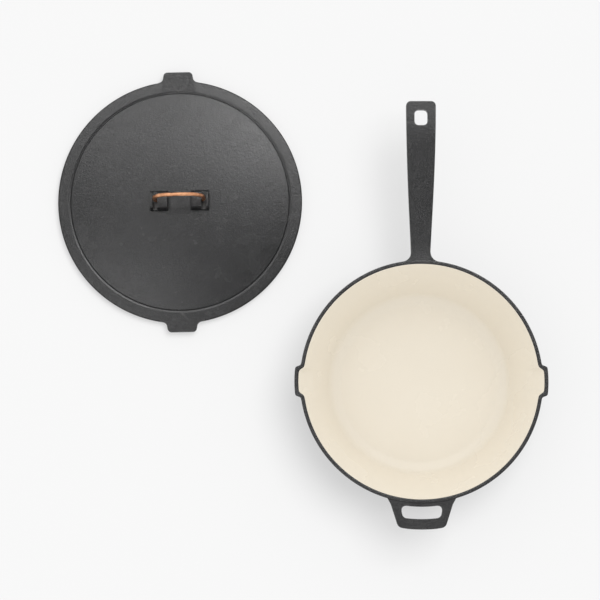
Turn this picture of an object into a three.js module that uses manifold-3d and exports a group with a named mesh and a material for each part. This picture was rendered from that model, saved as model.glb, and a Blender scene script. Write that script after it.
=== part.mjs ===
// A cast iron covered pan: a deep flared pan cast in one piece with a long handle, a helper handle and two
// pouring spouts, lined with enamel, and a domed lid with a bent wire handle. The lid lies beside the pan.
// Millimetres, +Z up. The origin is the centre of the pan's base, on the table; the long handle points to +Y.
import * as THREE from "three";
import { mergeVertices } from "three/addons/utils/BufferGeometryUtils.js";
import Module from "manifold-3d";

const wasm = await Module();
wasm.setup();

// ---- driving dimensions ----
const AROUND = 72; // facets round a full turn
const GAP = 0.3; // between pieces that touch

const PAN = {
  height: 78,
  rimRadius: 157.3,
  rimWidth: 4.8,
  lean: 0.524, // how far the wall flares outwards for each millimetre of height
  base: 5, // thickness of the floor
  outerFillet: 26,
  innerFillet: 22.5,
  edge: 0.8, // rounding of the rim's edges
};
const ENAMEL = { thickness: 0.8, belowRim: 0.5 };
const SPOUT = {
  reach: 7.2,
  depth: 30,
  mouth: 18.6, // half width of the nose at the rim
  root: 21,
  foot: 11, // half width where it has fallen back to the wall
  corner: 4,
  wall: 5.2,
  narrowing: 0.8, // how much less the channel is inset at its sides than at its front
};
const LONG_HANDLE = {
  tip: 362.4,
  neckWidth: 24.8,
  endWidth: 38.4,
  neckAt: 168,
  risesFrom: 164,
  levelFrom: 334,
  rise: 19,
  thickness: 9,
  thinsFrom: 140, // the deep root thins to the bar's own thickness over this stretch
  thinsTo: 200,
  rootDepth: 17,
  flare: 13,
  corner: 6.5,
  edge: 3,
  chamferMiddle: 0.3, // where each corner's chamfer is broken, as a share of the edge
};
const HANG_HOLE = { width: 17.3, length: 20.4, corner: 4, fromTip: 21.1 };
const HELPER = {
  reach: 190.6,
  bow: 2, // how far the end's middle stands beyond its corners
  endWidth: 62,
  corner: 9,
  waistWidth: 82,
  waistAt: 156,
  footWidth: 89,
  footAt: 150,
  inside: 130,
  fillet: 8,
  thickness: 9,
  belowRim: 1,
  edge: 2,
};
const HELPER_SLOT = { near: 161.6, far: 177.4, nearWidth: 54.5, farWidth: 48.5, corner: 6 };
const LID = {
  x: -316,
  y: 242,
  turn: 1.2, // degrees
  radius: 162,
  crown: 20.5, // top of the dome above the table
  domeRadius: 144.5,
  domeRise: 9,
  plate: 5,
  flangeTop: 11.1, // beside the groove
  flangeEdge: 10.2, // at the rim, which the flange slopes down to
  flangeUnder: 4.5,
  grooveWidth: 3.4,
  grooveDepth: 0.5,
  grooveSlope: 1.2,
  lipOuter: 147.5,
  lipWidth: 4.5,
  lipEdge: 0.8,
  edge: 1.6,
};
const TAB = {
  reach: 173.5,
  endWidth: 37,
  root: 40.5,
  ramp: 47,
  corner: 5,
  fillet: 6.5,
  footWidth: 60, // its foot meets the lid's rim this wide
  edge: 0.8,
};
const LUG = {
  inner: 15.9,
  outer: 38.3,
  halfLength: 12.7,
  topHalfLength: 10.8,
  height: 13,
  slotInner: 27.7,
  slotOuter: 36,
  slotFloor: 4.5,
  bore: 3.1,
  corner: 3,
  sunk: 3, // how far its foot runs down before the dome cuts it off
  edge: 0.8,
};
const WIRE = {
  radius: 2.8,
  halfSpan: 32.3,
  height: 38,
  bow: 0.8, // how far the grip's middle rises above its ends
  bend: 5,
  shoulder: 21,
  end: 19.5,
  lean: 4, // degrees
};
const PIVOT_HEIGHT = 28.5; // the wire handle's pivot above the table, with the lid lying on it

const IRON = { color: 0x3b3b3c, roughness: 0.62, metalness: 0.35 };
const CREAM = { color: 0xf1e6d0, roughness: 0.18, metalness: 0 };
const COPPER = { color: 0xd98a58, roughness: 0.24, metalness: 1 };

// ---- solids and meshes ----
// A closed geometry as a solid for cutting and joining.
function solidOf(geometry) {
  const bare = geometry.index ? geometry.toNonIndexed() : geometry.clone();
  bare.deleteAttribute("normal");
  bare.deleteAttribute("uv");
  const merged = mergeVertices(bare, 1e-3);
  const mesh = new wasm.Mesh({
    numProp: 3,
    vertProperties: merged.attributes.position.array,
    triVerts: new Uint32Array(merged.index.array),
  });
  return new wasm.Manifold(mesh);
}

function geometryOf(solid) {
  const made = solid.getMesh();
  const geometry = new THREE.BufferGeometry();
  geometry.setAttribute("position", new THREE.BufferAttribute(made.vertProperties, 3));
  geometry.setIndex(new THREE.BufferAttribute(made.triVerts, 1));
  const faceted = geometry.toNonIndexed();
  faceted.computeVertexNormals();
  return faceted;
}

function piece(name, geometry, look) {
  const mesh = new THREE.Mesh(geometry, new THREE.MeshStandardMaterial(look));
  mesh.name = name;
  return mesh;
}

// A polyline of [r, z, fillet] corners as points, each fillet an arc of `steps` chords.
function rounded(corners, steps) {
  const points = [];
  corners.forEach(([r, z, fillet], i) => {
    const here = new THREE.Vector2(r, z);
    if (!fillet) {
      points.push(here);
      return;
    }
    const before = new THREE.Vector2(...corners[i - 1]).sub(here).normalize();
    const after = new THREE.Vector2(...corners[i + 1]).sub(here).normalize();
    const half = Math.acos(before.dot(after)) / 2;
    const centre = before.clone().add(after).normalize().multiplyScalar(fillet / Math.sin(half)).add(here);
    const start = before.multiplyScalar(fillet / Math.tan(half)).add(here).sub(centre);
    const end = after.multiplyScalar(fillet / Math.tan(half)).add(here).sub(centre);
    const turn = Math.atan2(start.cross(end), start.dot(end));
    for (let k = 0; k <= steps; k++) {
      points.push(start.clone().rotateAround(new THREE.Vector2(), (turn * k) / steps).add(centre));
    }
  });
  return points;
}

// A solid of revolution about Z. The profile runs counter-clockwise, from the axis or round to its start.
function turned(profile) {
  return new THREE.LatheGeometry(profile, AROUND).rotateX(Math.PI / 2);
}

// A closed skin over rings of points, each ring counter-clockwise as seen against the way the rings run.
function lofted(rings) {
  const count = rings[0].length;
  const positions = rings.flat().flatMap((p) => [p.x, p.y, p.z]);
  const faces = [];
  const flat = rings[0].map((p) => new THREE.Vector2(p.u, p.v));
  const cap = THREE.ShapeUtils.triangulateShape(flat, []);
  const last = (rings.length - 1) * count;
  cap.forEach(([a, b, c]) => faces.push(a, c, b, last + a, last + b, last + c));
  for (let ring = 0; ring < rings.length - 1; ring++) {
    for (let k = 0; k < count; k++) {
      const a = ring * count + k;
      const b = ring * count + ((k + 1) % count);
      faces.push(a, b, b + count, a, b + count, a + count);
    }
  }
  const geometry = new THREE.BufferGeometry();
  geometry.setAttribute("position", new THREE.Float32BufferAttribute(positions, 3));
  geometry.setIndex(faces);
  return geometry;
}

// A closed outline of [x, y, corner radius] points as a shape with round corners.
function roundCornered(corners, shape = new THREE.Shape()) {
  const at = (i) => new THREE.Vector2(...corners[(i + corners.length) % corners.length]);
  corners.forEach(([x, y, radius], i) => {
    const here = new THREE.Vector2(x, y);
    const before = at(i - 1).sub(here).normalize();
    const after = at(i + 1).sub(here).normalize();
    const reach = radius / Math.tan(Math.acos(before.dot(after)) / 2);
    const start = before.multiplyScalar(reach).add(here);
    const end = after.multiplyScalar(reach).add(here);
    if (i) shape.lineTo(start.x, start.y);
    else shape.moveTo(start.x, start.y);
    if (radius) shape.quadraticCurveTo(x, y, end.x, end.y);
  });
  shape.closePath();
  return shape;
}

// A shape pulled up from z = bottom to z = top, its edges chamfered by `edge`.
function pulled(shape, bottom, top, edge = 0, curveSegments = 4) {
  return new THREE.ExtrudeGeometry(shape, {
    depth: top - bottom - 2 * edge,
    bevelEnabled: edge > 0,
    bevelThickness: edge,
    bevelSize: edge,
    bevelOffset: -edge,
    bevelSegments: 1,
    curveSegments,
  }).translate(0, 0, bottom + edge);
}

// ---- pan ----
const rimInner = PAN.rimRadius - PAN.rimWidth;
const wallAt = (radiusAtRim, z) => radiusAtRim - PAN.lean * (PAN.height - z);
const slant = Math.hypot(1, PAN.lean); // horizontal distance for each millimetre through the wall

// Everything inside the pan's outer skin, grown by `offset`.
function panOuter(offset = 0) {
  const rim = PAN.rimRadius + offset * slant;
  const top = PAN.height + offset;
  const profile = rounded(
    [
      [0, -offset],
      [wallAt(rim, -offset), -offset, PAN.outerFillet + offset],
      [wallAt(rim, top), top, PAN.edge],
      [0, top],
    ],
    5,
  );
  return solidOf(turned(profile));
}

// The hollow of the pan, shrunk by `offset`, up to z = top.
function panHollow(offset, top) {
  const rim = rimInner - offset * slant;
  const floor = PAN.base + offset;
  const profile = rounded(
    [
      [0, floor],
      [wallAt(rim, floor), floor, PAN.innerFillet - offset],
      [wallAt(rim, top), top],
      [0, top],
    ],
    5,
  );
  return solidOf(turned(profile));
}

// A spout's nose on the +X side, up to z = top: a block that narrows and falls back to the wall as it goes
// down. Shrunk by `inset`, it is the pour channel inside the nose.
function spoutNose(inset, top) {
  const foot = PAN.height - SPOUT.depth;
  const rings = [foot + inset, top].map((z) => {
    const share = (z - foot) / SPOUT.depth;
    const wall = wallAt(PAN.rimRadius, z) - inset;
    const front = SPOUT.foot + (SPOUT.mouth - SPOUT.foot) * share - inset * SPOUT.narrowing;
    const root = front + (SPOUT.root - SPOUT.mouth) * share;
    const outline = roundCornered([
      [110, -root, 0],
      [wall - 5, -root, 0],
      [wall + SPOUT.reach * share, -front, SPOUT.corner],
      [wall + SPOUT.reach * share, front, SPOUT.corner],
      [wall - 5, root, 0],
      [110, root, 0],
    ]);
    return outline.getPoints(3).slice(0, -1).map((p) => ({ x: p.x, y: p.y, z, u: p.x, v: p.y }));
  });
  return solidOf(lofted(rings));
}

function bothSides(solid) {
  return solid.add(solid.rotate([0, 0, 180]));
}

function panBowl() {
  const clear = PAN.height + 6;
  const noses = bothSides(spoutNose(0, PAN.height));
  const hollow = panHollow(0, clear).add(bothSides(spoutNose(SPOUT.wall, clear)));
  return geometryOf(panOuter().add(noses).subtract(hollow));
}

function enamelLining() {
  const fill = (offset, top) => panHollow(offset, top).add(bothSides(spoutNose(SPOUT.wall + offset, top)));
  const skin = fill(GAP, PAN.height - ENAMEL.belowRim);
  return geometryOf(skin.subtract(fill(GAP + ENAMEL.thickness, PAN.height + 6)));
}

// ---- long handle ----
const ease = THREE.MathUtils.smoothstep;

function handleHalfWidth(y) {
  const along = THREE.MathUtils.clamp((y - LONG_HANDLE.neckAt) / (LONG_HANDLE.tip - LONG_HANDLE.neckAt), 0, 1);
  const body = THREE.MathUtils.lerp(LONG_HANDLE.neckWidth, LONG_HANDLE.endWidth, Math.sin((along * Math.PI) / 2));
  const root = Math.max(0, LONG_HANDLE.neckAt - y);
  const flare = LONG_HANDLE.flare - Math.sqrt(Math.max(0, LONG_HANDLE.flare ** 2 - root ** 2));
  const fromTip = Math.max(0, LONG_HANDLE.corner - (LONG_HANDLE.tip - y));
  const roundOff = LONG_HANDLE.corner - Math.sqrt(LONG_HANDLE.corner ** 2 - fromTip ** 2);
  return body / 2 + flare - roundOff;
}

// A ring round the handle at y: a rectangle with chamfered edges, in the XZ plane.
function handleRing(y) {
  const half = handleHalfWidth(y);
  const { edge, rise, risesFrom, levelFrom, thickness, rootDepth, thinsFrom, thinsTo } = LONG_HANDLE;
  const top = PAN.height - GAP + rise * ease(y, risesFrom, levelFrom);
  const deep = thickness + rootDepth * (1 - ease(y, thinsFrom, thinsTo));
  const middle = edge * LONG_HANDLE.chamferMiddle;
  const corner = [
    [half - edge, 0],
    [half - middle, -middle],
    [half, -edge],
    [half, edge - deep],
    [half - middle, middle - deep],
    [half - edge, -deep],
  ];
  const left = corner.map(([x, z]) => [-x, z]).reverse();
  return [...corner, ...left].map(([x, z]) => ({ x, y, z: top + z, u: -x, v: z }));
}

function longHandle() {
  const { neckAt, flare, tip, corner } = LONG_HANDLE;
  const stations = [];
  for (let k = 0; k <= 6; k++) stations.push(neckAt - flare * Math.cos((k * Math.PI) / 12));
  for (let k = 1; k <= 14; k++) stations.push(neckAt + ((tip - corner - neckAt) * k) / 14);
  for (let k = 1; k <= 5; k++) stations.push(tip - corner * (1 - Math.sin((k * Math.PI) / 10)));
  const bar = solidOf(lofted(stations.map(handleRing)));
  const half = HANG_HOLE.width / 2;
  const centre = tip - HANG_HOLE.fromTip;
  const hole = roundCornered([
    [-half, centre - HANG_HOLE.length / 2, HANG_HOLE.corner],
    [half, centre - HANG_HOLE.length / 2, HANG_HOLE.corner],
    [half, centre + HANG_HOLE.length / 2, HANG_HOLE.corner],
    [-half, centre + HANG_HOLE.length / 2, HANG_HOLE.corner],
  ]);
  const cutter = solidOf(pulled(hole, 0, 200));
  return geometryOf(bar.subtract(cutter).subtract(panOuter(GAP)));
}

// ---- helper handle ----
// [x, y, 0] points of a bow round the pan's centre towards -Y, from x = -halfWidth to halfWidth.
function bowAt(r, halfWidth, steps) {
  const points = [];
  for (let k = 0; k <= steps; k++) {
    const x = halfWidth * ((2 * k) / steps - 1);
    points.push([x, -Math.sqrt(r ** 2 - x ** 2), 0]);
  }
  return points;
}

// A side of the slot: a bow whose two ends are round corners.
function slotSide(r, width) {
  const side = bowAt(r, width / 2, 4);
  side.at(0)[2] = HELPER_SLOT.corner;
  side.at(-1)[2] = HELPER_SLOT.corner;
  return side;
}

function helperHandle() {
  const { reach, bow, endWidth, corner, waistWidth, waistAt, footWidth, footAt, fillet, thickness } = HELPER;
  const right = [
    [endWidth / 2, bow - reach, corner],
    [waistWidth / 2, -waistAt, fillet],
    [footWidth / 2, -footAt, fillet / 2],
    [footWidth / 2, -HELPER.inside, 0],
  ];
  const left = right.map(([x, y, radius]) => [-x, y, radius]).reverse();
  const outline = roundCornered([...left, [0, -reach, 0], ...right]);
  const slot = roundCornered([
    ...slotSide(HELPER_SLOT.far, HELPER_SLOT.farWidth),
    ...slotSide(HELPER_SLOT.near, HELPER_SLOT.nearWidth).reverse(),
  ]);
  const top = PAN.height - HELPER.belowRim;
  const plate = solidOf(pulled(outline, top - thickness, top, HELPER.edge));
  const cutter = solidOf(pulled(slot, 0, 200));
  return geometryOf(plate.subtract(cutter).subtract(panOuter(GAP)));
}

// ---- lid ----
const domeBall = (LID.domeRadius ** 2 + LID.domeRise ** 2) / (2 * LID.domeRise);
const domeFall = (r) => domeBall - Math.sqrt(domeBall ** 2 - r ** 2);

// Points of a dome's section from radius `from` to radius `to`, its crown at z = crown.
function domeArc(crown, from, to, steps) {
  const points = [];
  for (let k = 0; k <= steps; k++) {
    const r = from + ((to - from) * k) / steps;
    points.push([r, crown - domeFall(r)]);
  }
  return points;
}

// A pry tab at +Y: a level ramp from the groove to the tab's end, over a foot that fills its corners.
function lidTab() {
  const { reach, endWidth, root, ramp, corner, fillet, footWidth, edge } = TAB;
  const inside = LID.domeRadius + LID.grooveWidth + 0.5;
  const neck = LID.radius - 0.5;
  const shoulder = Math.sqrt(neck ** 2 - (footWidth / 2) ** 2);
  const end = [
    [endWidth / 2, reach, corner],
    [-endWidth / 2, reach, corner],
  ];
  const foot = roundCornered([
    [-footWidth / 2, inside, 0],
    [footWidth / 2, inside, 0],
    [footWidth / 2, shoulder, 0],
    [root / 2, neck, fillet],
    ...end,
    [-root / 2, neck, fillet],
    [-footWidth / 2, shoulder, 0],
  ]);
  const top = roundCornered([[-ramp / 2, inside, 0], [ramp / 2, inside, 0], ...end]);
  const low = solidOf(pulled(foot, LID.flangeUnder, LID.flangeEdge, edge, 3));
  return low.add(solidOf(pulled(top, LID.flangeUnder + 1, LID.flangeTop, edge, 3)));
}

function lidPlate() {
  const { radius, crown, domeRadius, plate, flangeTop, flangeEdge, flangeUnder, lipOuter, lipWidth, edge } = LID;
  const under = domeArc(crown - plate, 0, lipOuter - lipWidth, 6);
  const over = domeArc(crown, domeRadius, 0, 7);
  const groove = domeRadius + LID.grooveWidth;
  const { grooveSlope, lipEdge } = LID;
  const profile = rounded(
    [
      ...under,
      [lipOuter - lipWidth + lipEdge / 2, 0],
      [lipOuter - lipEdge, 0],
      [lipOuter, flangeUnder],
      [radius - lipEdge, flangeUnder],
      [radius, flangeUnder + lipEdge],
      [radius, flangeEdge, edge],
      [groove, flangeTop],
      [groove - grooveSlope, flangeTop - LID.grooveDepth],
      [domeRadius + grooveSlope, flangeTop - LID.grooveDepth],
      ...over,
    ],
    2,
  );
  return geometryOf(solidOf(turned(profile)).add(bothSides(lidTab())));
}

// The cast ear at +X that holds one end of the wire handle: a ridge along Y with a slot and a bore across it.
function lug() {
  const { inner, outer, halfLength, topHalfLength, height, slotInner, slotOuter, slotFloor, bore, edge } = LUG;
  const surface = LID.crown - domeFall((inner + outer) / 2);
  const spread = ((halfLength - topHalfLength) * LUG.sunk) / height;
  const section = roundCornered([
    [-halfLength - spread, -LUG.sunk, 0],
    [halfLength + spread, -LUG.sunk, 0],
    [topHalfLength, height, LUG.corner],
    [-topHalfLength, height, LUG.corner],
  ]);
  const ridge = pulled(section, inner, outer, edge);
  ridge.rotateX(Math.PI / 2).rotateZ(Math.PI / 2).translate(0, 0, surface);
  const slot = new THREE.BoxGeometry(slotOuter - slotInner, 60, 40);
  slot.translate((slotInner + slotOuter) / 2, 0, surface + slotFloor + 20);
  const hole = new THREE.CylinderGeometry(bore, bore, 30, 16).rotateZ(Math.PI / 2);
  hole.translate(slotInner - 10, 0, PIVOT_HEIGHT);
  const reach = 2 * outer; // the dome under the lug, this far from the middle
  const under = turned(rounded([[0, 0], [reach, 0], ...domeArc(LID.crown + GAP, reach, 0, 8)], 1));
  return solidOf(ridge).subtract(solidOf(slot)).subtract(solidOf(hole)).subtract(solidOf(under));
}

// ---- wire handle ----
// The wire's centre line in the XZ plane about the pivot, from one inward-turned end to the other.
function wirePath() {
  const { halfSpan, height, bow: rise, bend, shoulder, end } = WIRE;
  const low = height - rise;
  const path = new THREE.CurvePath();
  const at = (x, z) => new THREE.Vector3(x, 0, z);
  const line = (a, b) => path.add(new THREE.LineCurve3(a, b));
  const bow = (a, b, c) => path.add(new THREE.QuadraticBezierCurve3(a, b, c));
  line(at(-end, 0), at(bend - halfSpan, 0));
  bow(at(bend - halfSpan, 0), at(-halfSpan, 0), at(-halfSpan, bend));
  line(at(-halfSpan, bend), at(-halfSpan, height - shoulder));
  bow(at(-halfSpan, height - shoulder), at(1 - halfSpan, low - 1), at(shoulder - halfSpan, low));
  bow(at(shoulder - halfSpan, low), at(0, height + rise), at(halfSpan - shoulder, low));
  bow(at(halfSpan - shoulder, low), at(halfSpan - 1, low - 1), at(halfSpan, height - shoulder));
  line(at(halfSpan, height - shoulder), at(halfSpan, bend));
  bow(at(halfSpan, bend), at(halfSpan, 0), at(halfSpan - bend, 0));
  line(at(halfSpan - bend, 0), at(end, 0));
  return new THREE.CatmullRomCurve3(path.getSpacedPoints(60));
}

function wireHandle() {
  const section = new THREE.Shape().absarc(0, 0, WIRE.radius, 0, 2 * Math.PI);
  return new THREE.ExtrudeGeometry(section, { steps: 60, curveSegments: 10, extrudePath: wirePath() });
}

// ---- assembly ----
const pan = new THREE.Group();
pan.add(
  piece("pan_bowl", panBowl(), IRON),
  piece("enamel_lining", enamelLining(), CREAM),
  piece("long_handle", longHandle(), IRON),
  piece("helper_handle", helperHandle(), IRON),
);

const handleGroup = new THREE.Group();
handleGroup.add(piece("lid_handle", wireHandle(), COPPER));
handleGroup.position.z = PIVOT_HEIGHT;
handleGroup.rotation.x = -THREE.MathUtils.degToRad(WIRE.lean);

const lid = new THREE.Group();
const ear = lug();
lid.add(
  piece("lid_plate", lidPlate(), IRON),
  piece("lug_right", geometryOf(ear), IRON),
  piece("lug_left", geometryOf(ear.rotate([0, 0, 180])), IRON),
  handleGroup,
);
lid.position.set(LID.x, LID.y, 0);
lid.rotation.z = THREE.MathUtils.degToRad(LID.turn);

const assembly = new THREE.Group();
assembly.add(pan, lid);

export default assembly;
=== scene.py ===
import math

import bmesh
import bpy
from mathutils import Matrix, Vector


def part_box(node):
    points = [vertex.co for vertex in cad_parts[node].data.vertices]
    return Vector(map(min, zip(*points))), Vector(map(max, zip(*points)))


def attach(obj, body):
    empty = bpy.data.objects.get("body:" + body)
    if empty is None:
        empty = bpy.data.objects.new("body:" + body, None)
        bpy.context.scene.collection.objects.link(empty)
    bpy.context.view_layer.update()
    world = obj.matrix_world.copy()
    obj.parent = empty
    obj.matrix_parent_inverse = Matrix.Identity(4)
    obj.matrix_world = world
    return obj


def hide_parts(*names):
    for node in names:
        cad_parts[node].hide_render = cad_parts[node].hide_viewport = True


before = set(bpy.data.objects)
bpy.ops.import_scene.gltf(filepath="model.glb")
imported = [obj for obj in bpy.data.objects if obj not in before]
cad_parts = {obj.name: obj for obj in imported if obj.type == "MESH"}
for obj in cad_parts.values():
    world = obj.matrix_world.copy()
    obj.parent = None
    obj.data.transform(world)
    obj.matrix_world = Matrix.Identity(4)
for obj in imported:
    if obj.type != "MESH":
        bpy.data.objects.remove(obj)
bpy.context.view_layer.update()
mm = 0.001
same = 0.02  # in millimetres: places this close are one
row = 0.05  # in millimetres: vertices this close in height or along a piece are in one row
print("frame loaded")


# handling pieces
def putDown():  # out of edit mode with nothing selected
    if bpy.context.object and bpy.context.object.mode != "OBJECT":
        bpy.ops.object.mode_set(mode="OBJECT")
    bpy.ops.object.select_all(action="DESELECT")


def hold(piece):
    putDown()
    piece.select_set(True)
    bpy.context.view_layer.objects.active = piece


def named(name):  # names the primitive just added and moves its place into its mesh
    piece = bpy.context.object
    piece.name = piece.data.name = name
    bpy.ops.object.transform_apply(location=True, rotation=True, scale=True)
    return piece


def edit(piece, mode="VERT"):
    hold(piece)
    bpy.ops.object.mode_set(mode="EDIT")
    bpy.ops.mesh.select_mode(type=mode)
    bpy.ops.mesh.select_all(action="DESELECT")


def done():
    bpy.ops.object.mode_set(mode="OBJECT")


def pickVerts(test):  # test takes a vertex's place in millimetres
    mesh = bmesh.from_edit_mesh(bpy.context.object.data)
    for v in mesh.verts:
        v.select_set(bool(test(v.co / mm)))
    mesh.select_flush(True)
    bmesh.update_edit_mesh(bpy.context.object.data)
    return any(v.select for v in mesh.verts)


def pickEdges(test):  # test takes an edge and its middle in millimetres
    bpy.ops.mesh.select_all(action="DESELECT")
    mesh = bmesh.from_edit_mesh(bpy.context.object.data)
    for e in mesh.edges:
        if test(e, (e.verts[0].co + e.verts[1].co) / 2 / mm):
            e.select_set(True)
    bmesh.update_edit_mesh(bpy.context.object.data)


def sharp(edge, degrees=50):
    return len(edge.link_faces) == 2 and edge.calc_face_angle(0) > math.radians(degrees)


def upright(edge):
    a, b = (v.co for v in edge.verts)
    return abs(a.z - b.z) > 5 * math.dist(a.xy, b.xy)


def softenEdges(piece, test, width, segments=3):
    edit(piece, "EDGE")
    pickEdges(test)
    bpy.ops.mesh.bevel(offset=width * mm, segments=segments, clamp_overlap=True)
    done()


def move(x=0, y=0, z=0):
    bpy.ops.transform.translate(value=(x * mm, y * mm, z * mm))


def stretch(x=1, y=1, z=1, about=(0, 0, 0)):
    bpy.ops.transform.resize(value=(x, y, z), center_override=Vector(about) * mm)


def drawLine(name, corners, level=None):
    # a line through (a, b, fillet) corners: upright with a along X and b up,
    # or, when it has a level, flat with b along Y and closed on its start
    def spot(a, b):
        return Vector((a, 0, b) if level is None else (a, b, level)) * mm
    bpy.ops.mesh.primitive_plane_add(size=mm, location=spot(*corners[0][:2]))
    line = named(name)
    edit(line)
    bpy.ops.mesh.select_all(action="SELECT")
    bpy.ops.mesh.merge(type="CENTER")
    for before, after in zip(corners, corners[1:]):
        step = spot(*after[:2]) - spot(*before[:2])
        bpy.ops.mesh.extrude_vertices_move(TRANSFORM_OT_translate={"value": step})
    if level is not None:
        ends = [spot(*corners[0][:2]) / mm, spot(*corners[-1][:2]) / mm]
        pickVerts(lambda p: min((p - end).length for end in ends) < same)
        bpy.ops.mesh.edge_face_add()
    for i, (a, b, fillet) in enumerate(corners):
        if fillet:
            here, before, after = (spot(*corners[j % len(corners)][:2]) for j in (i, i - 1, i + 1))
            reach = fillet / math.tan((before - here).angle(after - here) / 2)
            pickVerts(lambda p: (p - here / mm).length < same)
            steps = max(3, min(9, round(fillet / 3) + 2))
            bpy.ops.mesh.bevel(affect="VERTICES", offset=reach * mm, segments=steps, clamp_overlap=False)
    done()
    return line


def makePlate(name, corners, bottom, top):  # a flat plate with an outline of (x, y, fillet) corners
    plate = drawLine(name, corners, level=top)
    edit(plate)
    bpy.ops.mesh.select_all(action="SELECT")
    bpy.ops.mesh.edge_face_add()
    bpy.ops.mesh.extrude_region_move(TRANSFORM_OT_translate={"value": (0, 0, (bottom - top) * mm)})
    faceOut()
    done()
    return plate


def faceOut():
    bpy.ops.mesh.select_all(action="SELECT")
    bpy.ops.mesh.normals_make_consistent(inside=False)


def turn(line, steps):  # a full turn of a line about Z
    edit(line)
    bpy.ops.mesh.select_all(action="SELECT")
    bpy.ops.mesh.spin(steps=steps, angle=2 * math.pi, center=(0, 0, 0), axis=(0, 0, 1))
    bpy.ops.mesh.select_all(action="SELECT")
    bpy.ops.mesh.remove_doubles(threshold=same * mm)
    faceOut()
    done()


def closeMiddle(piece, z):  # fills the round hole about Z at one height with a fan
    widest = 40
    edit(piece, "EDGE")
    pickEdges(lambda e, p: len(e.link_faces) == 1 and math.hypot(p.x, p.y) < widest and abs(p.z - z) < 1)
    bpy.ops.mesh.edge_face_add()
    bpy.ops.mesh.poke()
    done()


def applied(piece, kind, **values):
    hold(piece)
    modifier = piece.modifiers.new(kind.title(), kind)
    for key, value in values.items():
        setattr(modifier, key, value)
    bpy.ops.object.modifier_apply(modifier=modifier.name)


def combine(piece, other, how):  # how is UNION or DIFFERENCE, and the other solid is used up
    applied(piece, "BOOLEAN", object=other, operation=how, solver="MANIFOLD")
    bpy.data.objects.remove(other)


def smooth(piece, degrees=35):  # rounded edges shade softly and the broad faces stay flat
    hold(piece)
    bpy.ops.object.shade_smooth_by_angle(angle=math.radians(degrees))
    applied(piece, "WEIGHTED_NORMAL", keep_sharp=True)


def easeBetween(value, low, high):
    t = min(1, max(0, (value - low) / (high - low)))
    return t * t * (3 - 2 * t)


# the pan's bowl and its enamel
bowlSizes = {
    "height": 78, "rimRadius": 157.3, "rimWidth": 4.8, "lean": 0.524, "floor": 5,
    "outerFillet": 26, "innerFillet": 22.5, "around": 192, "rimLoop": 1,
    "hole": 30, "flat": 70,  # radii of the loops on the base and the floor; the hole is closed with a fan
    "rows": [50, 55, 60, 65, 70, 74, 76.6],  # heights of the loops that shape the spouts
}

spoutSizes = {
    "depth": 28,  # below the rim, where the spout has run out into the wall
    "foot": 0.65,  # how wide it is there, as a share of its width at the rim
    "reach": 0.4,  # how near a vertex must be to its place on the round wall
    # for each vertex, from the spout's middle: how far along the rim it slides to, and how far out it moves
    "outer": [(0, 7.2), (8.4, 7.2), (16.4, 7.2), (19.2, 6.8), (20.5, 0.4), (23, 0)],
    "inner": [(0, 6.8), (6, 6.8), (12, 6.8), (14.8, 6.1), (17.6, 0.8), (20.6, 0)],
}

coatSizes = {"belowRim": 0.4, "thickness": 0.6, "gap": 0.05}


def wallRadius(rim, z):
    return rim - bowlSizes["lean"] * (bowlSizes["height"] - z)


def shapeSpouts(bowl, skins):
    depth, foot, reach = (spoutSizes[key] for key in ("depth", "foot", "reach"))
    top = bowlSizes["height"]
    step = 2 * math.pi / bowlSizes["around"]
    edit(bowl)
    mesh = bmesh.from_edit_mesh(bowl.data)
    heights = sorted({round(v.co.z / mm, 2) for v in mesh.verts if v.co.z / mm > top - depth})
    for z in heights:
        share = 1 - (top - z) / depth
        for skin, rim in skins:
            radius = wallRadius(rim, z)
            for column, (slide, out) in enumerate(spoutSizes[skin]):
                x, y = radius * math.cos(column * step), radius * math.sin(column * step)
                newY = y + (slide * (foot + (1 - foot) * share) - y) * share
                newX = math.sqrt(radius ** 2 - newY ** 2) + out * share

                def here(p):
                    return abs(p.z - z) < row and math.dist((abs(p.x), abs(p.y)), (x, y)) < reach

                if pickVerts(here):
                    stretch(x=newX / x, y=newY / y if column else 1)
    done()


def makeBowl():
    s = bowlSizes
    outer, inner, top = s["rimRadius"], s["rimRadius"] - s["rimWidth"], s["height"]
    rimOut, rimIn, floor = outer - s["rimLoop"], inner + s["rimLoop"], s["floor"]
    outside = [(wallRadius(outer, z), z, 0) for z in s["rows"]]
    inside = [(wallRadius(inner, z), z, 0) for z in reversed(s["rows"])]
    bowl = drawLine("panCasting", [
        (s["hole"], 0, 0), (s["flat"], 0, 0), (wallRadius(outer, 0), 0, s["outerFillet"]), *outside,
        (outer, top, 0), (rimOut, top, 0), (rimIn, top, 0), (inner, top, 0), *inside,
        (wallRadius(inner, floor), floor, s["innerFillet"]), (s["flat"], floor, 0), (s["hole"], floor, 0),
    ])
    turn(bowl, s["around"])
    shapeSpouts(bowl, [("outer", outer), ("outer", rimOut), ("inner", rimIn), ("inner", inner)])
    applied(bowl, "SUBSURF", levels=1, render_levels=1)
    closeMiddle(bowl, 0)
    closeMiddle(bowl, floor)
    edit(bowl)
    faceOut()
    done()
    return bowl


def makeCoat():
    s = bowlSizes
    inner, floor = s["rimRadius"] - s["rimWidth"] - coatSizes["gap"], s["floor"] + coatSizes["gap"]
    rows = reversed(s["rows"][:-1])  # the top one is too near the coat's edge
    edge = s["height"] - coatSizes["belowRim"]
    coat = drawLine("enamelCoat", [
        (wallRadius(inner, edge), edge, 0), *[(wallRadius(inner, z), z, 0) for z in rows],
        (wallRadius(inner, floor), floor, s["innerFillet"]), (s["flat"], floor, 0), (s["hole"], floor, 0),
    ])
    turn(coat, s["around"])
    shapeSpouts(coat, [("inner", inner)])
    applied(coat, "SUBSURF", levels=1, render_levels=1)
    closeMiddle(coat, floor)
    edit(coat)
    faceOut()
    done()
    return coat


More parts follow.
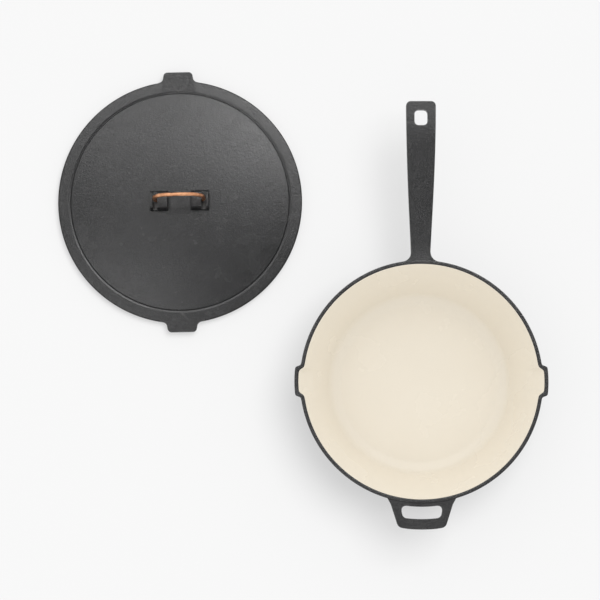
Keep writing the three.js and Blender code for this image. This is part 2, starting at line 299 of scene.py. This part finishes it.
bowl = makeBowl()
coat = makeCoat()
print("bowl and enamel made")


# the pan's handles
handleSizes = {
    "start": 155, "neck": 168, "riseFrom": 164, "levelFrom": 334, "endRows": [345, 356.5], "tip": 362.4,
    "neckWidth": 24.8, "endWidth": 38.4, "flare": 13, "corner": 7.5, "edge": 2.6, "belowRim": 0.3, "rise": 19,
    "thickness": 9, "rootDepth": 17, "thinFrom": 140, "thinTo": 200,
    "holeWidth": 16.9, "holeLength": 20.4, "holeCorner": 5.2, "holeCentre": 341.1, "holeEdge": 1.2,
    "holeFloor": 60, "holeRoof": 120,  # the cutter runs well past both faces
}

helperSizes = {
    "reach": 190.8, "bottom": 68, "top": 77, "edge": 1.8, "edgeFrom": 155.5,
    "side": [(30.4, -188, 7.5), (39.8, -158.6, 9), (45, -149, 0)],  # (x, y, fillet) from its end to the wall
    "rootRadius": 154.4, "rootHalf": 42, "endHalf": 18,
    "slotNear": 161.6, "slotFar": 177.4, "slotWide": 27.7, "slotNarrow": 24.6, "slotCorner": 6,
    "slotFloor": 50, "slotRoof": 100,  # the cutter runs well past both faces
}


def handleHalf(y):  # half the long handle's width at y
    s = handleSizes
    along = max(0, (y - s["neck"]) / (s["tip"] - s["neck"]))
    root = max(0, s["neck"] - y)
    flare = s["flare"] - math.sqrt(max(0, s["flare"] ** 2 - root ** 2))
    width = s["neckWidth"] + (s["endWidth"] - s["neckWidth"]) * math.sin(along * math.pi / 2)
    return width / 2 + flare


def makeLongHandle():
    s = handleSizes
    ys = [s["start"] + s["flare"] * (1 - math.cos(k * math.pi / 12)) for k in range(7)]  # round the flare
    ys += [s["neck"] + 4 * k for k in range(1, 10)]  # closely where it thins
    ys += [s["levelFrom"] - 10 * k for k in range(12, -1, -1)] + s["endRows"] + [s["tip"]]
    low = bowlSizes["height"] - s["belowRim"]
    tops = [low + s["rise"] * easeBetween(y, s["riseFrom"], s["levelFrom"]) for y in ys]
    bpy.ops.mesh.primitive_plane_add(size=2 * handleHalf(ys[0]) * mm, location=(0, 0, tops[0] * mm))
    handle = named("longHandle")
    edit(handle)
    pickVerts(lambda p: p.y > 0)
    bpy.ops.mesh.delete(type="VERT")
    bpy.ops.mesh.select_all(action="SELECT")
    move(y=ys[0] + handleHalf(ys[0]))
    for k in range(1, len(ys)):
        step = (0, (ys[k] - ys[k - 1]) * mm, (tops[k] - tops[k - 1]) * mm)
        bpy.ops.mesh.extrude_edges_move(TRANSFORM_OT_translate={"value": step})
        stretch(x=handleHalf(ys[k]) / handleHalf(ys[k - 1]), about=(0, ys[k], tops[k]))
    bpy.ops.mesh.select_all(action="SELECT")
    bpy.ops.mesh.extrude_region_move(TRANSFORM_OT_translate={"value": (0, 0, -s["thickness"] * mm)})
    for y, top in zip(ys, tops):  # the underside runs down into the wall
        if pickVerts(lambda p: abs(p.y - y) < row and p.z < top - 1):
            move(z=-s["rootDepth"] * (1 - easeBetween(y, s["thinFrom"], s["thinTo"])))
    pickVerts(lambda p: p.y < ys[0] + row and p.z < low - 1)
    move(y=-(s["thickness"] + s["rootDepth"]) * bowlSizes["lean"])
    faceOut()
    done()
    softenEdges(handle, lambda e, p: upright(e) and p.y > s["tip"] - 0.1, s["corner"], 6)
    softenEdges(handle, lambda e, p: sharp(e), s["edge"], 4)
    half, centre = s["holeWidth"] / 2, s["holeCentre"]
    near, far, r = centre - s["holeLength"] / 2, centre + s["holeLength"] / 2, s["holeCorner"]
    corners = [(-half, near, r), (half, near, r), (half, far, r), (-half, far, r)]
    combine(handle, makePlate("hangHole", corners, s["holeFloor"], s["holeRoof"]), "DIFFERENCE")
    softenEdges(handle, lambda e, p: sharp(e) and abs(p.x) < half + 0.1 and near - 0.1 < p.y < far + 0.1
                and not upright(e), s["holeEdge"])
    return handle


def arc(radius, halfWidth, points):  # points of a bow round the pan's centre, towards -Y
    xs = [halfWidth * (2 * k / (points - 1) - 1) for k in range(points)]
    return [(x, -math.sqrt(radius ** 2 - x ** 2), 0) for x in xs]


def slotSide(radius, half, flat):  # a bow with a round corner at each end
    end, corner = -math.sqrt(radius ** 2 - half ** 2), helperSizes["slotCorner"]
    return [(-half, end, corner), *arc(radius, flat, 5), (half, end, corner)]


def makeHelperHandle():
    s = helperSizes
    left = [(-x, y, fillet) for x, y, fillet in reversed(s["side"])]
    root = list(reversed(arc(s["rootRadius"], s["rootHalf"], 15)))
    outline = arc(s["reach"], s["endHalf"], 5) + s["side"] + root + left
    helper = makePlate("helperHandle", outline, s["bottom"], s["top"])
    near = list(reversed(slotSide(s["slotNear"], s["slotWide"], 15)))
    far = slotSide(s["slotFar"], s["slotNarrow"], 13)
    combine(helper, makePlate("slot", near + far, s["slotFloor"], s["slotRoof"]), "DIFFERENCE")
    softenEdges(helper, lambda e, p: sharp(e) and not upright(e) and math.hypot(p.x, p.y) > s["edgeFrom"],
                s["edge"], 4)
    return helper


longHandle = makeLongHandle()
helperHandle = makeHelperHandle()
combine(bowl, longHandle, "UNION")
combine(bowl, helperHandle, "UNION")
smooth(bowl)
applied(coat, "SOLIDIFY", thickness=coatSizes["thickness"] * mm, offset=-1)
smooth(coat, 60)
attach(bowl, "pan")
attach(coat, "pan")
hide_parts("pan_bowl", "long_handle", "helper_handle")
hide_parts("enamel_lining")
print("pan joined", len(bowl.data.polygons), len(coat.data.polygons))

# the lid
lidSizes = {
    "radius": 162, "crown": 20.5, "domeRadius": 144.5, "domeRise": 9, "plate": 5, "around": 256,
    "firstRow": 14, "rowStep": 9, "rows": 14,  # the loops over the dome
    "flangeTop": 11.1, "flangeEdge": 10.2, "flangeUnder": 4.5, "edge": 1.8, "underEdge": 1,
    "grooveWidth": 3.4, "grooveDepth": 0.5, "grooveSlope": 1.2, "grooveInner": 1.5, "grooveOuter": 4,
    "lipOuter": 147.5, "lipWidth": 4.5, "lipEdge": 0.8, "lipRoot": 2,
    "turn": 1.2,  # the whole lid is turned by these degrees
}

tabSizes = {
    "reach": 173.5, "endWidth": 37, "root": 40.5, "ramp": 47, "corner": 5, "fillet": 6.5, "edge": 1.3,
    "footHalf": 30, "footAt": 158.6, "rampFloor": 6,
    "drop": 0.3,  # how far its top falls from the groove to its end
}

lugSizes = {
    "inner": 15.9, "outer": 38.3, "halfLength": 12.7, "topHalf": 10.8, "height": 13, "topCorner": 3,
    "slotInner": 29.1, "slotOuter": 35.3, "slotFloor": 2.5, "edge": 1.2, "corner": 2.8,
    "skirt": 0.8, "skirtHeight": 0.9, "sunk": 2, "slotLength": 80, "slotHeight": 40,
    "bore": 3.1, "boreMiddle": 19.1, "boreLength": 30,
}


def domeHeight(crown, r):
    s = lidSizes
    ball = (s["domeRadius"] ** 2 + s["domeRise"] ** 2) / (2 * s["domeRise"])
    return crown - ball + math.sqrt(ball ** 2 - r ** 2)


def makeLidPlate():
    s = lidSizes
    rows = [s["firstRow"] + s["rowStep"] * k for k in range(s["rows"])]
    over = [(r, domeHeight(s["crown"], r), 0) for r in rows]
    groove, low = s["domeRadius"] + s["grooveWidth"], s["flangeTop"] - s["grooveDepth"]
    lipInner, ceiling = s["lipOuter"] - s["lipWidth"], s["crown"] - s["plate"]
    under = [(r, domeHeight(ceiling, r), 0) for r in reversed(rows)]
    plate = drawLine("lidCasting", [
        *over, (s["domeRadius"] - 0.4, domeHeight(s["crown"], s["domeRadius"]), s["grooveInner"]),
        (s["domeRadius"] + s["grooveSlope"], low, s["grooveSlope"]),
        (groove, s["flangeTop"], s["grooveOuter"]),
        (s["radius"], s["flangeEdge"], s["edge"]), (s["radius"], s["flangeUnder"], s["underEdge"]),
        (s["lipOuter"], s["flangeUnder"], s["underEdge"]), (s["lipOuter"] - s["lipEdge"], 0, s["lipEdge"]),
        (lipInner + s["lipEdge"] / 2, 0, s["lipEdge"]),
        (lipInner, domeHeight(ceiling, lipInner), s["lipRoot"]), *under,
    ])
    turn(plate, s["around"])
    closeMiddle(plate, domeHeight(s["crown"], rows[0]))
    closeMiddle(plate, domeHeight(ceiling, rows[0]))
    edit(plate)
    faceOut()
    done()
    return plate


def makeTab():
    s = tabSizes
    inside = lidSizes["domeRadius"] + lidSizes["grooveWidth"] + 0.2
    end = [(s["endWidth"] / 2, s["reach"], s["corner"]), (-s["endWidth"] / 2, s["reach"], s["corner"])]
    neck, foot = lidSizes["radius"] - 0.5, s["footHalf"]
    tab = makePlate("tab", [
        (-foot, inside, 0), (foot, inside, 0), (foot, s["footAt"], 0),
        (s["root"] / 2, neck, s["fillet"]), *end, (-s["root"] / 2, neck, s["fillet"]),
        (-foot, s["footAt"], 0),
    ], lidSizes["flangeUnder"], lidSizes["flangeEdge"])
    inner = [(x, -y, 0) for x, y, _ in arc(inside, s["ramp"] / 2, 13)]
    ramp = makePlate("ramp", inner + end, s["rampFloor"], lidSizes["flangeTop"])
    edit(ramp)
    pickVerts(lambda p: p.z > lidSizes["flangeTop"] - 1)
    bpy.ops.transform.rotate(value=math.atan(s["drop"] / (s["reach"] - inside)), orient_axis="X",
                             center_override=Vector((0, inside, lidSizes["flangeTop"])) * mm)
    done()
    combine(tab, ramp, "UNION")
    softenEdges(tab, lambda e, p: sharp(e, 40) and not upright(e) and p.y > inside + 1, s["edge"])
    return tab


def makeLug():  # the lug at +X: a ridge along Y with a slot for the wire's leg and a bore for its end
    s = lugSizes
    top, foot = s["height"], s["skirtHeight"]
    lug = makePlate("lug", [
        (-s["halfLength"], foot, 0), (s["halfLength"], foot, 0), (s["topHalf"], top, s["topCorner"]),
        (-s["topHalf"], top, s["topCorner"]),
    ], s["inner"], s["outer"])
    hold(lug)
    lug.rotation_euler = (math.pi / 2, 0, math.pi / 2)
    bpy.ops.object.transform_apply(location=True, rotation=True, scale=True)
    softenEdges(lug, lambda e, p: abs(p.x - s["outer"]) < 0.1 and abs(p.z - top / 2) < top / 4,
                s["corner"], 5)
    slotSize = (s["slotOuter"] - s["slotInner"], s["slotLength"], s["slotHeight"])
    slotMiddle = ((s["slotInner"] + s["slotOuter"]) / 2, 0, s["slotFloor"] + s["slotHeight"] / 2)
    bpy.ops.mesh.primitive_cube_add(size=1, scale=Vector(slotSize) * mm)
    slot = named("slot")
    hold(slot)
    slot.location = Vector(slotMiddle) * mm
    bpy.ops.object.transform_apply(location=True)
    combine(lug, slot, "DIFFERENCE")
    softenEdges(lug, lambda e, p: sharp(e, 40) and p.z > foot + row, s["edge"])
    edit(lug, "FACE")
    pickVerts(lambda p: p.z < foot + row)
    middle = ((s["inner"] + s["outer"]) / 2, 0, 0)
    wider = (1 + 2 * s["skirt"] / (s["outer"] - s["inner"]), 1 + s["skirt"] / s["halfLength"])
    bpy.ops.mesh.extrude_region_move(TRANSFORM_OT_translate={"value": (0, 0, -foot * mm)})
    stretch(*wider, about=middle)
    bpy.ops.mesh.extrude_region_move(TRANSFORM_OT_translate={"value": (0, 0, -s["sunk"] * mm)})
    faceOut()
    done()
    hold(lug)
    lug.location.z = domeHeight(lidSizes["crown"], middle[0]) * mm
    bpy.ops.object.transform_apply(location=True)
    bpy.ops.mesh.primitive_cylinder_add(
        vertices=40, radius=s["bore"] * mm, depth=s["boreLength"] * mm, rotation=(0, math.pi / 2, 0),
        location=(s["boreMiddle"] * mm, 0, wireSizes["pivot"] * mm),
    )
    combine(lug, named("bore"), "DIFFERENCE")
    return lug


def halfTurned(piece):  # a copy of the piece turned half round about Z
    hold(piece)
    bpy.ops.object.duplicate()
    other = bpy.context.object
    other.rotation_euler.z = math.pi
    bpy.ops.object.transform_apply(rotation=True)
    return other


def toLid(piece):  # from the lid's own centre to where the lid lies
    low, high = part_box("lid_plate")
    hold(piece)
    piece.rotation_euler.z = math.radians(lidSizes["turn"])
    piece.location = ((low[0] + high[0]) / 2, (low[1] + high[1]) / 2, 0)
    bpy.ops.object.transform_apply(location=True, rotation=True)


# the wire handle
wireSizes = {
    "pivot": 28.5, "radius": 2.5, "halfSpan": 32.3, "height": 38, "bend": 5, "end": 19.5,
    "shoulder": 19.5, "shoulderTurn": 87,  # the grip's two halves rise a little to its middle
    "bow": 0.6,
    "lastRun": 2.8,  # its right end runs back outwards this far, and stops short of its lug's bore
    "around": 20, "lean": 4, "step": 1.3, "dent": 8, "dentDepth": 0.6,
}


def makeWire():
    s = wireSizes
    bpy.ops.mesh.primitive_circle_add(
        vertices=s["around"], radius=s["radius"] * mm, rotation=(0, math.pi / 2, 0),
        location=(-s["end"] * mm, 0, 0),
    )
    wire = named("wireHandle")
    edit(wire, "EDGE")
    bpy.ops.mesh.select_all(action="SELECT")

    def run(x, z):  # straight on, in short steps
        steps = max(1, round(math.hypot(x, z) / s["step"]))
        for _ in range(steps):
            step = (x / steps * mm, 0, z / steps * mm)
            bpy.ops.mesh.extrude_edges_move(TRANSFORM_OT_translate={"value": step})

    def bend(x, z, degrees, radius):  # round a centre in the XZ plane
        steps = max(6, round(radius * math.radians(abs(degrees)) / s["step"]))
        centre = (x * mm, 0, z * mm)
        bpy.ops.mesh.spin(steps=steps, angle=-math.radians(degrees), center=centre, axis=(0, 1, 0))

    side, b, r = s["halfSpan"], s["bend"], s["shoulder"]
    top = s["height"] - s["bow"]
    run(s["end"] - side + b, 0)
    bend(b - side, b, 90, b)
    run(0, top - r - b)
    bend(r - side, top - r, s["shoulderTurn"], r)
    run(side - r, s["bow"])
    run(side - r, -s["bow"])
    bend(side - r, top - r, s["shoulderTurn"], r)
    run(0, b + r - top)
    bend(side - b, b, 90, b)
    run(s["lastRun"], 0)
    bpy.ops.mesh.select_all(action="SELECT")
    bpy.ops.mesh.remove_doubles(threshold=0.01 * mm)
    bpy.ops.mesh.fill_holes(sides=0)
    faceOut()
    done()
    return wire


plate = makeLidPlate()
tab = makeTab()
lug = makeLug()
for extra in (halfTurned(tab), tab, halfTurned(lug), lug):
    combine(plate, extra, "UNION")
smooth(plate)
toLid(plate)
print("lid made", len(plate.data.polygons))
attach(plate, "lid")
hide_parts("lid_plate", "lug_left", "lug_right")


def hammer(wire):  # shallow round dents all over, then the wire goes to its pivot
    s = wireSizes
    applied(wire, "SUBSURF", levels=1, render_levels=1)
    dents = bpy.data.textures.new("dents", "VORONOI")
    dents.noise_scale = s["dent"] * mm
    applied(wire, "DISPLACE", texture=dents, strength=s["dentDepth"] * mm, mid_level=0.6)
    smooth(wire, 60)
    hold(wire)
    wire.rotation_euler.x = -math.radians(s["lean"])
    wire.location.z = s["pivot"] * mm
    bpy.ops.object.transform_apply(location=True, rotation=True)


wire = makeWire()
hammer(wire)
toLid(wire)
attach(wire, "lid_handle")
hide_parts("lid_handle")
print("wire handle made", len(wire.data.polygons))


# finishes
def newMaterial(name):
    # returns its shader and functions that add a node, stretch a value, mix two colours and
    # join the results to the shader, which gives the finished material
    material = bpy.data.materials.new(name)
    material.use_nodes = True
    tree = material.node_tree

    def node(kind, inputs=None, **settings):
        made = tree.nodes.new("ShaderNode" + kind)
        for key, value in settings.items():
            setattr(made, key, value)
        for key, value in (inputs or {}).items():
            if isinstance(value, bpy.types.NodeSocket):
                tree.links.new(value, made.inputs[key])
            else:
                made.inputs[key].default_value = value
        return made

    def spread(value, low, high, toLow=0, toHigh=1):  # low..high of a value stretched to toLow..toHigh
        return node("MapRange", {
            "Value": value, "From Min": low, "From Max": high, "To Min": toLow, "To Max": toHigh,
        }).outputs["Result"]

    def mixed(factor, a, b, how="MIX"):
        mix = node("Mix", {"Factor": factor, "A": a, "B": b}, data_type="RGBA", blend_type=how)
        return mix.outputs["Result"]

    shader = tree.nodes["Principled BSDF"]

    def finish(colour, rough, normal):
        tree.links.new(colour, shader.inputs["Base Color"])
        tree.links.new(rough, shader.inputs["Roughness"])
        tree.links.new(normal, shader.inputs["Normal"])
        return material

    return shader, node, spread, mixed, finish


ironLook = {
    "dark": (0.009, 0.009, 0.0095, 1), "pale": (0.013, 0.013, 0.0135, 1), "worn": (0.035, 0.034, 0.033, 1),
    "roughness": (0.23, 0.29), "gloss": 0.21, "mottle": 40, "grain": 420, "grainDepth": 0.00037,
    "swell": 130, "swellDepth": 0.0001, "pits": 600, "pitDepth": 0.00006,
}


def makeIron():  # seasoned sand casting: fine grain, shallow swells, small pits, paler at worn edges
    look = ironLook
    shader, node, spread, mixed, finish = newMaterial("sandCastIron")
    place = node("TexCoord").outputs["Object"]
    mottle = node("TexNoise", {
        "Vector": place, "Scale": look["mottle"], "Detail": 6, "Roughness": 0.6,
    }).outputs["Fac"]
    grain = node("TexNoise", {
        "Vector": place, "Scale": look["grain"], "Detail": 5, "Roughness": 0.7,
    }).outputs["Fac"]
    swell = node("TexNoise", {"Vector": place, "Scale": look["swell"], "Detail": 2}).outputs["Fac"]
    pits = node("TexVoronoi", {"Vector": place, "Scale": look["pits"]}).outputs["Distance"]
    tone = mixed(spread(mottle, 0.35, 0.65), look["dark"], look["pale"])
    speckled = mixed(1, tone, spread(grain, 0.3, 0.7, 0.65, 1.45), "MULTIPLY")
    edges = spread(node("NewGeometry").outputs["Pointiness"], 0.56, 0.66)
    worn = mixed(edges, speckled, look["worn"])
    swells = node("Bump", {"Height": swell, "Distance": look["swellDepth"], "Strength": 0.5})
    pitted = node("Bump", {
        "Height": pits, "Distance": look["pitDepth"], "Strength": 0.4, "Normal": swells.outputs["Normal"],
    })
    grainy = node("Bump", {
        "Height": grain, "Distance": look["grainDepth"], "Strength": 0.8, "Normal": pitted.outputs["Normal"],
    })
    shader.inputs["Specular IOR Level"].default_value = look["gloss"]
    return finish(worn, spread(mottle, 0.3, 0.7, *look["roughness"]), grainy.outputs["Normal"])


enamelLook = {
    "cream": (0.885, 0.815, 0.69, 1), "paleCream": (0.915, 0.85, 0.73, 1), "roughness": (0.2, 0.3),
    "cloud": 14, "specks": 260, "ripple": 170, "rippleDepth": 0.0001, "glaze": 0.3, "glazeRoughness": 0.1,
}


def makeEnamel():  # cream glaze with faint clouds, pinholes and an uneven surface
    look = enamelLook
    shader, node, spread, mixed, finish = newMaterial("creamEnamel")
    place = node("TexCoord").outputs["Object"]
    cloud = node("TexNoise", {"Vector": place, "Scale": look["cloud"], "Detail": 4}).outputs["Fac"]
    ripple = node("TexNoise", {"Vector": place, "Scale": look["ripple"], "Detail": 2}).outputs["Fac"]
    specks = node("TexVoronoi", {"Vector": place, "Scale": look["specks"]}).outputs["Distance"]
    tone = mixed(cloud, look["cream"], look["paleCream"])
    spotted = mixed(1, tone, spread(specks, 0.03, 0.09, 0.9, 1), "MULTIPLY")
    bump = node("Bump", {"Height": ripple, "Distance": look["rippleDepth"], "Strength": 0.25})
    shader.inputs["Coat Weight"].default_value = look["glaze"]
    shader.inputs["Coat Roughness"].default_value = look["glazeRoughness"]
    return finish(spotted, spread(cloud, 0.3, 0.7, *look["roughness"]), bump.outputs["Normal"])


copperLook = {
    "bright": (0.78, 0.40, 0.22, 1), "tarnished": (0.48, 0.20, 0.10, 1), "roughness": (0.3, 0.45),
    "patina": 160, "scuff": 1500, "scuffDepth": 0.00004,
}


def makeCopper():  # beaten copper, bright where it is rubbed and browner in patches
    look = copperLook
    shader, node, spread, mixed, finish = newMaterial("hammeredCopper")
    place = node("TexCoord").outputs["Object"]
    patina = node("TexNoise", {"Vector": place, "Scale": look["patina"], "Detail": 5}).outputs["Fac"]
    scuff = node("TexNoise", {"Vector": place, "Scale": look["scuff"], "Detail": 2}).outputs["Fac"]
    tone = mixed(spread(patina, 0.42, 0.66), look["bright"], look["tarnished"])
    bump = node("Bump", {"Height": scuff, "Distance": look["scuffDepth"], "Strength": 0.4})
    shader.inputs["Metallic"].default_value = 1
    return finish(tone, spread(patina, 0.3, 0.7, *look["roughness"]), bump.outputs["Normal"])


def dress(material, slot, *pieces):
    for piece in pieces:
        piece.data.materials.clear()
        piece.data.materials.append(material)


dress(makeIron(), "iron", bowl, plate)
dress(makeEnamel(), "enamel", coat)
dress(makeCopper(), "copper", wire)
print("finishes on")


# floor, camera and lights
studio = {
    "floorSize": 80, "floorTone": (0.2, 0.2, 0.2, 1), "floorGlow": 0.52,
    "world": (1, 1, 1, 1), "worldStrength": 0.91,
    "camera": (-0.1568, -0.160, 3.2), "aim": (-0.1568, 0.1084, 0.040), "lens": 145.2,
    # suns: bearing from +X, angle from straight up, width (degrees), then strength
    "fill": (90, 50, 60, 0.35), "shadow": (45, 24, 42, 3.9),
    "mainGloss": (60, 25, 16, 2.15), "farGloss": (125, 26, 16, 0.95), "nearGloss": (218, 17, 16, 0.95),
    "wireGloss": (150, 22, 16, 0.35),
}


def makeFloor():  # a pale sheet on a light table, which softens the shadows
    bpy.ops.mesh.primitive_plane_add(size=studio["floorSize"])
    floor = named("floor")
    sheet = bpy.data.materials.new("paleSheet")
    sheet.use_nodes = True
    inputs = sheet.node_tree.nodes["Principled BSDF"].inputs
    inputs["Base Color"].default_value = studio["floorTone"]
    inputs["Roughness"].default_value = 1
    inputs["Specular IOR Level"].default_value = 0
    inputs["Emission Color"].default_value = (1, 1, 1, 1)
    inputs["Emission Strength"].default_value = studio["floorGlow"]
    floor.data.materials.append(sheet)
    return floor


def addSun(around, tilt, size, energy, *pieces, glossOnly=False):
    # it lights only the pieces, if any are given
    bpy.ops.object.light_add(type="SUN")
    sun = bpy.context.object
    sun.data.energy = energy
    sun.data.angle = math.radians(size)
    sun.rotation_euler = (0, math.radians(tilt), math.radians(around))
    sun.visible_diffuse = not glossOnly
    if pieces:
        lit = bpy.data.collections.new("lit")
        for piece in pieces:
            lit.objects.link(piece)
        sun.light_linking.receiver_collection = lit


def makeCamera(place, aim, lens):
    bpy.ops.object.camera_add(location=place)
    camera = bpy.context.object
    camera.data.lens = lens
    camera.rotation_euler = (Vector(aim) - camera.location).to_track_quat("-Z", "Y").to_euler()
    bpy.context.scene.camera = camera


putDown()
floor = makeFloor()
makeCamera(studio["camera"], studio["aim"], studio["lens"])
bpy.context.scene.view_settings.view_transform = "Standard"
world = bpy.data.worlds.new("studio")
bpy.context.scene.world = world
world.use_nodes = True
background = world.node_tree.nodes["Background"]
background.inputs["Color"].default_value = studio["world"]
background.inputs["Strength"].default_value = studio["worldStrength"]
addSun(*studio["fill"])
addSun(*studio["shadow"], floor)
addSun(*studio["mainGloss"], bowl, plate, glossOnly=True)
addSun(*studio["farGloss"], bowl, plate, glossOnly=True)
addSun(*studio["wireGloss"], wire, glossOnly=True)
addSun(*studio["nearGloss"], bowl, plate, glossOnly=True)
